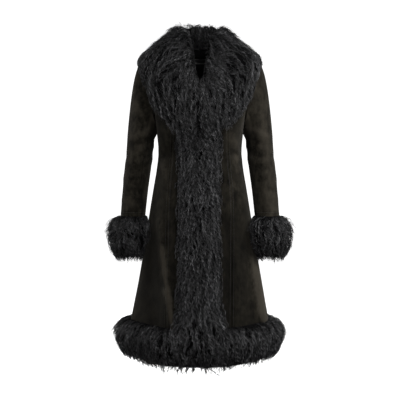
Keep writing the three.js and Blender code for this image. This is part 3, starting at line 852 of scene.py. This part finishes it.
class Pelt:
    """The room that one fur trim fills: a grid of points at the tips and one at the skin. Rows run
    the way the hair is combed, and are spread evenly along each column."""

    ROWS = 60

    def __init__(self, over, under):
        middle = (over + under) / 2
        length = run_of(middle)
        self.length = length[-1]
        self.columns = over.shape[1]
        self.width = length_of(np.diff(middle, axis=1)).sum(axis=1).max()

        def evened(grid):
            made = np.empty((self.ROWS, self.columns, 3))
            for column in range(self.columns):
                wanted = np.linspace(0, self.length[column], self.ROWS)
                for axis in range(3):
                    made[:, column, axis] = np.interp(wanted, length[:, column], grid[:, column, axis])
            return made

        self.over, self.under = evened(over), evened(under)

    def sample(self, grid, row, column):
        r = np.clip(row, 0, self.ROWS - 1.0001)
        r0 = r.astype(int)
        c0 = np.clip(column, 0, self.columns - 1.0001).astype(int)
        fr, fc = (r - r0)[..., None], (column - c0)[..., None]
        top = mix(grid[r0, c0], grid[r0, c0 + 1], fc)
        return mix(top, mix(grid[r0 + 1, c0], grid[r0 + 1, c0 + 1], fc), fr)

    def rise(self, row, column):
        """The way from the skin up to the tips."""
        return self.sample(self.over, row, column) - self.sample(self.under, row, column)

    def thickness(self, row, column):
        return length_of(self.rise(row, column))

    def per_row(self, column):
        return np.interp(column, np.arange(self.columns), self.length) / (self.ROWS - 1)

    def at(self, row, column, height):
        """A point over the skin. Before the first row the hair turns down over the pelt's edge,
        after the last one it goes straight on, bending down, and past a side it keeps its height."""
        inside = np.clip(column, 0, self.columns - 1.0001)
        per_row = self.per_row(inside)
        before = np.maximum(-row, 0) * per_row
        after = np.maximum(row - (self.ROWS - 1), 0) * per_row
        under, over = self.sample(self.under, row, inside), self.sample(self.over, row, inside)
        lowered = np.maximum(height - before / np.maximum(length_of(over - under), 1), 0.02)
        point = mix(under, over, lowered[..., None])

        def tips(at_row):
            return self.sample(self.over, np.full_like(row, at_row), inside)

        bulge = EDGE_BULGE * height * ease(before, 0, EDGE_TURN)
        point = point - unit(tips(2) - tips(0)) * bulge[..., None]
        onwards = unit(unit(tips(self.ROWS) - tips(self.ROWS - 3)) - (0, 0, DROOP))
        sideways = self.sample(self.under, row, column) - self.sample(self.under, row, inside)
        return point + onwards * after[..., None] + sideways


def grow(name, node, pelt, locks, overshoot, length=62, roots=0.98, drift=0.0, wraps=False,
         divide=None, spill=2.0, cap=0.0, spread=0.26, flick=0.1, parting=0.0, edge_share=0.1,
         heights=(0.66, 1.02), tuft=0.7, full=1.0, short=0.0):
    """Grows a trim's hair: locks of curly strands that rise off the skin and then lie the way they
    are combed, up to overshoot past the last row. roots: share of the rows with hair. drift: how
    far it lies sideways. spread: how much locks differ in that. spill: columns past the sides that
    it reaches. divide: share of the rows from which it is combed both ways, as on a collar's roll.
    cap, short: how far before the first and last rows it starts and ends. flick: how far tips
    stand up. parting: width of low, dark hair beside the first column. edge_share: share of the
    locks close to the first row. heights: how high locks reach. tuft: how far their strands draw
    together. full: how much of the pelt's height they take. A list is a value for each column."""

    def here(value, column):
        return np.interp(column, np.arange(pelt.columns), np.broadcast_to(value, pelt.columns))

    rows = pelt.ROWS - 1
    lock_column = rng.uniform(-0.3, pelt.columns - 0.7, locks)
    lock_step = pelt.per_row(lock_column)
    lowest = -here(cap, lock_column) / lock_step
    highest = roots * rows - here(short, lock_column) / lock_step
    lock_row = mix(lowest, highest, rng.uniform(0, 1, locks))
    at_edge = rng.uniform(0, 1, locks) < edge_share
    lock_row = np.where(at_edge, rng.uniform(-0.3, 1, locks) * EDGE_REACH / lock_step, lock_row)
    lock_turn = rng.uniform(0, 2 * math.pi, locks)
    lock_wave = rng.uniform(0.8, 1.2, locks) * WAVES
    lock_tone = np.clip(rng.normal(1, 0.2, locks), 0.5, 1.6)
    lock_side = rng.normal(0, 1, locks) * here(spread, lock_column) * np.where(at_edge, 2, 1)
    lock_long = rng.uniform(0.8, 1.15, locks)
    lock_high = rng.uniform(*heights, locks)
    lock_past = rng.uniform(0.05, 1.35, locks)
    lock_flick = np.clip(rng.normal(flick, 0.12, locks), -0.05, 0.4)
    # Beside the parting the locks are lower and painted darker: painted shade in the gap between the halves.
    if parting:
        beside = ease(lock_column * pelt.width / (pelt.columns - 1), 0, parting)
        lock_tone = lock_tone * mix(0.25, 1, beside)
        lock_side = lock_side + mix(0.35, 0, beside)
        lock_high = lock_high * mix(0.55, 1, beside)

    # Each strand's start, length and height
    index = np.repeat(np.arange(locks), LOCK)
    count = len(index)
    per_row, per_column = lock_step[index], pelt.width / (pelt.columns - 1)
    start_row = lock_row[index] + rng.normal(0, SCATTER, count) / per_row
    start_column = lock_column[index] + rng.normal(0, SCATTER, count) / per_column
    if not wraps:
        start_column = np.clip(start_column, -0.4, pelt.columns - 0.6)
    way = np.ones(count)
    if divide is not None:
        way = np.tanh((lock_row - here(divide, lock_column) * rows)[index] * per_row / TURN_OVER)
    long = length * lock_long[index] * rng.uniform(0.85, 1.08, count)
    thick = np.maximum(pelt.thickness(np.clip(start_row, 0, rows), start_column), 1)
    scale = FULL_PELT / np.maximum(thick, FULL_PELT)
    root = np.maximum(0.08, 1 - ROOT_BELOW / thick)
    top = 1 - (1 - lock_high[index] * rng.uniform(0.9, 1.03, count)) * scale
    tall = (top - root) * thick
    reach = np.sqrt(np.maximum(long ** 2 - 1.3 * tall ** 2, (0.3 * long) ** 2))
    past = here(overshoot, lock_column[index]) * lock_past[index] * rng.uniform(0.7, 1.1, count)
    past = past - here(short, lock_column[index])
    room = np.where(way > 0, (rows - start_row) * per_row + past, 1e9)
    reach = np.minimum(reach, np.maximum(room, 4)) * 0.92
    loose = (lock_flick[index] + rng.uniform(0.1, 0.36, count) * (rng.uniform(0, 1, count) < 0.2)) * scale

    # Its way over the pelt, and then the curls
    s = np.linspace(0, 1, STRAND_STEPS)[None, :]
    onwards = reach[:, None] * s ** 1.35
    gather = -tuft * s ** 0.8
    row = start_row[:, None] + (start_row - lock_row[index])[:, None] * gather
    row = row + way[:, None] * onwards / per_row[:, None]
    column = start_column[:, None] + (start_column - lock_column[index])[:, None] * gather
    column = column + (drift + lock_side[index, None]) * onwards / per_column
    rise = np.sin(np.minimum(s / 0.5, 1) * math.pi / 2)
    height = root[:, None] + (top - root)[:, None] * rise + loose[:, None] * s ** 2
    height = np.minimum(height, 1 + FLYAWAY / thick[:, None]) * here(full, lock_column[index])[:, None]
    if wraps:
        column = column % (pelt.columns - 1)
    else:
        limit = spill * rng.uniform(0.1, 1.7, locks)[index, None]
        column = np.clip(column, -limit, pelt.columns - 1 + limit)
    point = pelt.at(row, column, height)
    out = unit(pelt.rise(row, column))
    sideways = unit(np.cross(unit(np.gradient(point, axis=1)), out))
    turn = 2 * math.pi * lock_wave[index, None] * s * (long / length)[:, None] + lock_turn[index, None]
    turn = turn + rng.normal(0, 0.4, (count, 1))
    curl = CURL * ease(s, 0, 0.35) * (1 - 0.3 * s)
    point = point + sideways * (curl * np.cos(turn))[..., None] + out * (0.6 * curl * np.sin(turn))[..., None]
    along = unit(np.gradient(point, axis=1))
    lean = rng.uniform(-1.1, 1.1, (count, 1))
    flat = unit(np.cross(along, out) * np.cos(lean)[..., None] + out * np.sin(lean)[..., None])
    wide = rng.uniform(*STRAND_WIDE, (count, 1)) * (0.6 + 0.55 * s - 1.05 * s ** 3) * 0.5 + 0.06
    edge = flat * wide[..., None]
    strand = np.stack([point - edge, point + edge], axis=2).reshape(-1, 3)
    first = np.arange(count)[:, None] * STRAND_STEPS + np.arange(STRAND_STEPS - 1)[None, :]
    first = first.ravel() * 2
    blades = np.stack([first, first + 1, first + 3, first + 2], axis=-1)
    # Each strand's own tone, with painted glints where a curl comes up to the light.
    strand_tone = lock_tone[index] * np.exp(rng.normal(STRAND_TONE, STRAND_TONES, count))
    strand_tone = np.clip(strand_tone, 0.1, 3.6)[:, None] * (1 + GLINT * np.sin(turn + 0.7))
    tip = 0.1 + 0.9 * s + 0 * lean

    # The closed underwool, coloured near black as painted shade between the locks
    base_columns = np.linspace(-0.35, pelt.columns - 0.65 + min(spill, 0), BASE_COLUMNS)
    if wraps:
        base_columns = np.linspace(0, pelt.columns - 1, BASE_COLUMNS)[:-1]
    r, c = np.meshgrid(np.linspace(0, 1, BASE_ROWS), base_columns, indexing="ij")
    r = r * (rows - (BASE_SHORT + here(short, c)) / pelt.per_row(np.clip(c, 0, pelt.columns - 1)))
    low = pelt.at(r, c, np.full(r.shape, 0.03)).reshape(-1, 3)
    level = np.maximum(BASE_HEIGHT, 1 - BASE_BELOW / np.maximum(pelt.thickness(r, c), 1))
    level = (level + rng.uniform(-BASE_LUMPS, BASE_LUMPS, r.shape)) * here(full, c)
    base = np.concatenate([pelt.at(r, c, level).reshape(-1, 3), low])
    faces = facing_out(base, wall_faces(*r.shape, wraps))
    faces = np.concatenate([blades, faces + len(strand)])
    piece = new_piece(name, np.concatenate([strand, base]), faces, FUR)
    piece.data.materials.append(WOOL)
    of_wool = (np.arange(len(faces)) >= len(blades)).astype(int)
    piece.data.polygons.foreach_set("material_index", of_wool)
    for layer, values, rest in (("tip", tip, 0), ("tone", strand_tone, 1)):
        paint(piece, layer, np.concatenate([np.repeat(values.ravel(), 2), np.full(len(base), rest)]))
    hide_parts(node)


COLLAR_STATIONS, COLLAR_ROWS = 91, 25
COLLAR_END = 0.12  # half the gap where the two halves meet, in degrees
# The roll inside the neck, from its deepest row up: how far in and how high tips and skin lie
NECK_ROLL = ((1, 0.62, 0.92, 0.22), (0.93, 0.78, 0.75, 0.1), (0.72, 0.92, 0.5, 0.04))
UP = np.array([0, 0, 1.0])


def collar_grids(sign):
    """The collar's fur side and underside, from the inside of the neck out to the edge."""
    stations = np.linspace(COLLAR_END, 180 - COLLAR_END, COLLAR_STATIONS)
    size = between(COLLAR, level_of(COLLAR, "turn", stations))
    t = np.linspace(0, 1, COLLAR_ROWS)
    swell, lifted = (1 - t ** 2.6) ** 0.62, np.minimum(t * 8, 1)
    over, under = [], []
    for i, turn in enumerate(stations):
        fine = np.linspace(NECKLINE, size["edge"][i], 61)
        length = run_of(body_point(fine, turn))
        levels = np.interp(np.linspace(0, length[-1], COLLAR_ROWS), length, fine)
        stands = ease(turn, 15, 70)
        shoulder = SHOULDER_LIFT * hump(levels, SHOULDER, 0.9) * stands
        seat = mix(COLLAR_SEAT, COLLAR_LIFT, lifted) + shoulder * lifted
        low = off_body(levels, turn, seat)
        lean = (stands * (1 - np.minimum(1, 2.2 * t)))[:, None]
        direction = unit(body_normal(levels, turn) * (1 - lean) + UP * lean)
        high = body_point(levels, turn) + direction * mix(size["rim"][i], size["thick"][i], swell)[:, None]
        high = high + unit(low[-1] - low[-2]) * (size["over"][i] * t ** 4)[:, None]
        high = high + UP * (size["roll"][i] * (1 - t) ** 2)[:, None]
        inwards = unit(body_point(NECKLINE, turn) - body_point(NECKLINE - 0.2, turn))
        room = abs(body_point(NECKLINE, turn)[0]) / max(0.15, abs(inwards[0]))
        bulge = size["bulge"][i] if turn > 90 else min(size["bulge"][i], 0.75 * room + 1)
        tall = high[0] - low[0]

        def inside(away, share):
            return low[0] + inwards * away * bulge + tall * share

        over.append(np.concatenate([[inside(a, b) for a, b, _, _ in NECK_ROLL], high]))
        under.append(np.concatenate([[inside(a, b) for _, _, a, b in NECK_ROLL], low]))
    return tuple(flipped(np.array(grid).transpose(1, 0, 2), sign) for grid in (over, under))


def hem_heights(level, name):
    return between(HEM_FUR, level_of(HEM_FUR, "level", level))[name]


STRIP_SWELL = 46  # how thick the strips are where they come to the hem
STRIP_BARE = {"left": 16, "right": 12}  # a rim at a strip's outer edge that only the tips reach
HEM_LEVELS = (1.99, 0.02)  # upper and lower edges of the hem fur


def strip_height(level, across):
    at_hem = hem_heights(np.minimum(level, HEM_LEVELS[0]), "outer")
    swell = 1 - ease(level, 1.15, 3)
    middle = np.where(level < 1.15, np.maximum(at_hem, 5), mix(BAND_THICK, STRIP_SWELL, swell))
    low_rim = np.minimum(middle, mix(BAND_RIM, at_hem, 1 - ease(level, 1.85, 2)))
    rim = np.where(level < 2, low_rim, BAND_RIM)
    return mix(rim, middle, (1 - across ** 3) ** 0.6)


def strip_grids(side, sign):
    levels = np.linspace(UNDERARM - 0.02, HEM_LEVELS[1], 90)[:, None]
    across = np.linspace(0, 1, 25)[None, :]
    bare = STRIP_BARE[side] * ease(levels, 1.9, 2.8)
    turn = sign * turn_at_x(levels, mix(SEAM_GAP / 2, BAND_WIDTH - SEAM_GAP / 2 - bare, across))
    inner = np.where(levels < 1, hem_heights(levels, "inner"), SEAT_GAP) + 0 * across
    return off_body(levels, turn, strip_height(levels, across)), off_body(levels, turn, inner)


def hem_grids(first, last, columns):
    levels = np.linspace(*HEM_LEVELS, 60)[:, None]
    turn = mix(first(levels), last(levels), np.linspace(0, 1, columns)[None, :])
    return tuple(off_body(levels, turn, hem_heights(levels, name) + 0 * turn) for name in ("outer", "inner"))


def cuff_grids(sign):
    z = np.linspace(CUFF_FUR["z"][0], CUFF_FUR["z"][-1], 60)[:, None]
    around = np.linspace(0, 360, 73)[None, :]
    row = 1 + level_of(SLEEVE, "z", z)
    sizes = between(CUFF_FUR, level_of(CUFF_FUR, "z", z))
    over, under = (off_sleeve(row, around, sizes[name] + 0 * around) for name in ("outer", "inner"))
    level = level_of(BODY, "sideZ", over[..., 2])
    ring = between(BODY, level)
    depth = np.where(over[..., 1] < 0, ring["front"], ring["back"])
    share = np.minimum(1, np.abs(over[..., 1]) / depth)
    skirt = ring["half"] * (1 - share ** ring["square"]) ** (1 / ring["square"])
    turn = np.degrees(np.arctan2(over[..., 0], -over[..., 1]))
    fold = np.maximum(np.maximum(fold_at(level, turn), fold_at(level, -turn)), 0)
    over[..., 0] = np.maximum(over[..., 0], skirt + CUFF_SPACE + fold)
    return flipped(over, sign), flipped(under, sign)


SHOULDER_FLAT = {"left": 0.54, "right": 0.46}  # how much lower the collar's hair lies on a shoulder
COLLAR_HEIGHTS = {"left": (0.58, 0.9), "right": (0.62, 0.95)}
STRIP_DRIFT = {"left": 0.08, "right": 0.25}
STRIP_SPILL = {"left": 2.6, "right": 3.2}
SIDE_SEAM, SEAM_TURN = 90, 0.1  # where the hem fur is cut, and half the gap there in degrees


def collar_fur(side, sign):
    collar = Pelt(*collar_grids(sign))
    turns = np.linspace(0, 180, collar.columns)
    on_shoulder = hump(turns, 84, 24)
    shape = 1 - SHOULDER_FLAT[side] * on_shoulder + 0.18 * hump(turns, 105, 11) - 0.11 * hump(turns, 128, 12)
    grow(f"collar_{side}_fur", f"collar_fur_{side}", collar, 1700, flick=0.05, parting=16, edge_share=0.22,
         heights=COLLAR_HEIGHTS[side], full=shape, short=22 * hump(turns, 90, 24),
         overshoot=mix(46, 19, ease(turns, 18, 34)) * (1 - 0.7 * on_shoulder),
         divide=mix(-0.045, 0.13, ease(turns, 128, 165)),
         cap=mix(36, 50, ease(turns, 130, 155)),
         spread=mix(0.26, 0.8, ease(turns, 110, 150)))


def front_hem(sign):
    """The hem fur in front, from the strip's edge to the side seam."""
    return Pelt(*hem_grids(
        lambda level: sign * turn_at_x(level, BAND_WIDTH + SEAM_GAP / 2),
        steady(sign * (SIDE_SEAM - SEAM_TURN)), 40,
    ))


for side, sign in SIDES:
    collar_fur(side, sign)
    grow(f"front_strip_{side}_fur", f"front_fur_{side}", Pelt(*strip_grids(side, sign)), 820, 30,
         drift=STRIP_DRIFT[side], spread=0.42, spill=STRIP_SPILL[side], parting=3,
         heights=(0.55, 1.0), tuft=0.8)
    hem = front_hem(sign)
    grow(f"hem_{side}_fur", f"hem_fur_{side}", hem, 420, roots=0.95, cap=4, heights=(0.6, 1.0),
         overshoot=mix(28, 2, np.linspace(0, 1, hem.columns) ** 0.7))
    grow(f"cuff_{side}_fur", f"cuff_fur_{side}", Pelt(*cuff_grids(sign)), 640, 15, length=52,
         roots=0.96, wraps=True, cap=3, heights=(0.6, 1.0))
back_hem = Pelt(*hem_grids(steady(SIDE_SEAM + SEAM_TURN), steady(360 - SIDE_SEAM - SEAM_TURN), 90))
grow("hem_back_fur", "hem_fur_back", back_hem, 770, roots=0.93, cap=4,
     overshoot=mix(2, 12, 1 - np.abs(np.linspace(-1, 1, back_hem.columns))))

# Floor and backdrop: one round bowl
BOWL_RADIUS, BOWL_CORNER, BOWL_HEIGHT, BOWL_FLOOR, BOWL_SPOKES = 9000, 1500, 9000, -1400, 64


def pale_stage():
    made = Finish("pale studio paper", Roughness=0.9, Emission_Color=(1, 1, 1, 1), Emission_Strength=1.0)
    paper = made.finished(made.blend(made.noise(3), PAPER_DARK, PAPER_LIGHT))
    bend = [(BOWL_RADIUS - BOWL_CORNER * (1 - math.sin(a)), BOWL_FLOOR + BOWL_CORNER * (1 - math.cos(a)))
            for a in np.linspace(0, math.pi / 2, 12)]
    profile = np.array([(1, BOWL_FLOOR), *bend, (BOWL_RADIUS, BOWL_FLOOR + BOWL_HEIGHT)])
    around = np.radians(np.arange(BOWL_SPOKES) * 360 / BOWL_SPOKES)[None, :]
    reach, high = profile[:, :1], profile[:, 1:]
    points = np.stack([reach * np.cos(around), reach * np.sin(around), high + 0 * around], axis=-1)
    faces = grid_faces(len(profile), BOWL_SPOKES, True)
    bowl = mesh_object("studio_bowl", points.reshape(-1, 3), faces, paper, smooth=False)
    bowl.visible_diffuse = False
    bowl.visible_glossy = False


def aimed(thing, place, target):
    thing.location = place
    direction = np.array(target) - np.array(place)
    flat = math.hypot(direction[0], direction[1])
    thing.rotation_euler = (math.atan2(flat, -direction[2]), 0, math.atan2(-direction[0], direction[1]))


# Lamps, in metres and watts: name, place, what it is aimed at, size and power
LAMPS = (
    ("key_light", (1.35, -2.6, 1.6), (0, 0, 0), 0.9, 58),
    ("fill_light", (-2.2, -2.5, 1.0), (0, 0, 0), 1.4, 27),
    ("rim_light_right", (2.8, -0.8, 0.5), (0, 0, -0.3), 0.8, 60),
    ("rim_light_left", (-2.6, 0.7, 0.9), (0, 0, -0.3), 1.0, 24),
    ("back_light", (0.4, 3.2, 1.0), (0, 0, -0.5), 1.4, 36),
)
AIR = 0.14  # strength of the even light from all round
# Camera: 1.32 m of the coat's own plane fills the picture, seen from a little above its middle
CAMERA_DISTANCE, CAMERA_HEIGHT, PICTURE_MIDDLE, PICTURE_FIELD, SENSOR = 3.0, -0.385, -0.495, 1.32, 36


pale_stage()
for name, place, target, size, power in LAMPS:
    light = bpy.data.lights.new(name, "AREA")
    light.shape = "DISK"
    light.size = size
    light.energy = power
    aimed(in_scene(name, light), place, target)
scene = bpy.context.scene
scene.world = bpy.data.worlds.new("soft studio air")
scene.world.use_nodes = True
air = scene.world.node_tree.nodes["Background"].inputs
air["Color"].default_value = (1, 1, 1, 1)
air["Strength"].default_value = AIR
lens = bpy.data.cameras.new("camera")
lens.sensor_width = SENSOR
lens.lens = SENSOR * CAMERA_DISTANCE / PICTURE_FIELD
scene.camera = in_scene("camera", lens)
aimed(scene.camera, (0, -CAMERA_DISTANCE, CAMERA_HEIGHT), (0, 0, PICTURE_MIDDLE))
scene.view_settings.view_transform = "Standard"
